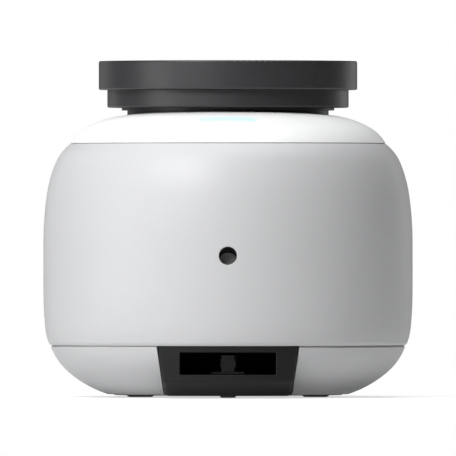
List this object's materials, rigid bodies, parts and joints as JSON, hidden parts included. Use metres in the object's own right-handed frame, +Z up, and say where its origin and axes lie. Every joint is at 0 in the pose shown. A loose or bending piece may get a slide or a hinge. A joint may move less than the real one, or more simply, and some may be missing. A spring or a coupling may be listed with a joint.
{
  "type": "two-wheel robot base",
  "caption": "Oblong white indoor robot base on two sprung drive wheels and casters, with a front scanner slot and a round black payload deck on a neck.",
  "frame": {"origin": "on the floor, under the middle of the payload deck", "axes": "+Z up, -Y towards the front with the scanner slot, +X to the robot's own left"},
  "size_m": [0.4422, 0.5422, 0.403],
  "materials": {
    "shell_white": "moulded, fine satin gloss",
    "cover_white": "moulded, satin",
    "panel_black": "fine spark-eroded grain",
    "deck_graphite": "satin powder coat",
    "neck_graphite": "satin powder coat",
    "light_lens": "frosted, lit from below",
    "plate_black": "e-coated sheet",
    "zinc_steel": "zinc plated",
    "bright_steel": "ground",
    "cast_aluminium": "bead blasted",
    "dark_aluminium": "anodised",
    "tyre_rubber": "fine tread",
    "caster_rubber": "smooth polyurethane",
    "motor_steel": "laminated, varnished",
    "battery_wrap": "heat-shrink wrap",
    "board_green": "solder mask",
    "sensor_grey": "matt membrane",
    "scanner_black": "infrared-clear, polished",
    "contact_brass": "nickel flashed",
    "button_grey": "satin",
    "liner_black": "flocked, so that it swallows light"
  },
  "bodies": {
    "chassis": {"base_plate": "plate_black", "base_screws": "zinc_steel", "battery_bracket": "zinc_steel", "battery_pack": "battery_wrap", "bearing_balls": "bright_steel", "bearing_inner_race": "bright_steel", "charge_contacts": "contact_brass", "charge_socket": "dark_aluminium", "front_caster_bridge": "zinc_steel", "front_panel": "panel_black", "ledge_screws": "zinc_steel", "left_pivot_bracket": "zinc_steel", "left_pivot_pin": "bright_steel", "left_spring": "bright_steel", "light_bar": "light_lens", "light_board": "board_green", "lower_pillars": "cast_aluminium", "lower_shell": "shell_white", "main_board": "board_green", "main_shell": "shell_white", "mid_plate": "plate_black", "motor_driver": "board_green", "neck_ring": "neck_graphite", "rear_caster_bridge": "zinc_steel", "rear_panel": "panel_black", "right_pivot_bracket": "zinc_steel", "right_pivot_pin": "bright_steel", "right_spring": "bright_steel", "scanner_base": "scanner_black", "scanner_bracket": "liner_black", "sensor_sleeve": "panel_black", "sensor_transducer": "sensor_grey", "switch_housing": "panel_black", "top_cover": "cover_white", "top_frame": "cast_aluminium", "upper_pillars": "cast_aluminium"},
    "left_arm": {"left_swing_arm": "cast_aluminium", "left_axle": "bright_steel", "left_stator": "motor_steel"},
    "left_wheel": {"left_tyre": "tyre_rubber", "left_hub": "dark_aluminium", "left_hub_cover": "cast_aluminium"},
    "right_arm": {"right_swing_arm": "cast_aluminium", "right_axle": "bright_steel", "right_stator": "motor_steel"},
    "right_wheel": {"right_tyre": "tyre_rubber", "right_hub": "dark_aluminium", "right_hub_cover": "cast_aluminium"},
    "front_caster_swivel": {"front_caster_fork": "zinc_steel", "front_caster_axle": "bright_steel"},
    "front_caster_roller": {"front_caster_wheel": "caster_rubber"},
    "rear_caster_swivel": {"rear_caster_fork": "zinc_steel", "rear_caster_axle": "bright_steel"},
    "rear_caster_roller": {"rear_caster_wheel": "caster_rubber"},
    "scanner_head": {"scanner_rotor": "scanner_black"},
    "deck": {"bearing_outer_race": "bright_steel", "deck_skirt": "deck_graphite", "deck_plate": "deck_graphite", "deck_screws": "zinc_steel"},
    "button": {"power_button": "button_grey"}
  },
  "joints": [
    {"name": "left_arm_swing", "type": "hinge", "parent": "chassis", "child": "left_arm", "pos_m": [0.077, -0.07, 0.075], "axis": [-1, 0, 0], "range_deg": [0, 8], "stiffness_Nm_per_rad": 14, "springref_deg": 24.06, "deforming": ["left_spring"]},
    {"name": "left_wheel_spin", "type": "hinge", "parent": "left_arm", "child": "left_wheel", "pos_m": [0.105, 0, 0.075], "axis": [1, 0, 0], "continuous": true},
    {"name": "right_arm_swing", "type": "hinge", "parent": "chassis", "child": "right_arm", "pos_m": [-0.077, -0.07, 0.075], "axis": [-1, 0, 0], "range_deg": [0, 8], "stiffness_Nm_per_rad": 14, "springref_deg": 24.06, "deforming": ["right_spring"]},
    {"name": "right_wheel_spin", "type": "hinge", "parent": "right_arm", "child": "right_wheel", "pos_m": [-0.105, 0, 0.075], "axis": [1, 0, 0], "continuous": true},
    {"name": "front_caster_turn", "type": "hinge", "parent": "chassis", "child": "front_caster_swivel", "pos_m": [0, -0.132, 0.06], "axis": [0, 0, 1], "continuous": true},
    {"name": "front_caster_roll", "type": "hinge", "parent": "front_caster_swivel", "child": "front_caster_roller", "pos_m": [0, -0.118, 0.025], "axis": [1, 0, 0], "continuous": true},
    {"name": "rear_caster_turn", "type": "hinge", "parent": "chassis", "child": "rear_caster_swivel", "pos_m": [0, 0.132, 0.06], "axis": [0, 0, 1], "continuous": true},
    {"name": "rear_caster_roll", "type": "hinge", "parent": "rear_caster_swivel", "child": "rear_caster_roller", "pos_m": [0, 0.146, 0.025], "axis": [1, 0, 0], "continuous": true},
    {"name": "scanner_spin", "type": "hinge", "parent": "chassis", "child": "scanner_head", "pos_m": [0, -0.197, 0.0416], "axis": [0, 0, 1], "continuous": true},
    {"name": "deck_turn", "type": "hinge", "parent": "chassis", "child": "deck", "pos_m": [0, 0, 0.355], "axis": [0, 0, 1], "continuous": true},
    {"name": "power_button_press", "type": "slide", "parent": "chassis", "child": "button", "axis": [0, -1, 0], "range_m": [0, 0.0015], "stiffness_N_per_m": 1500, "springref_m": -0.0015}
  ]
}
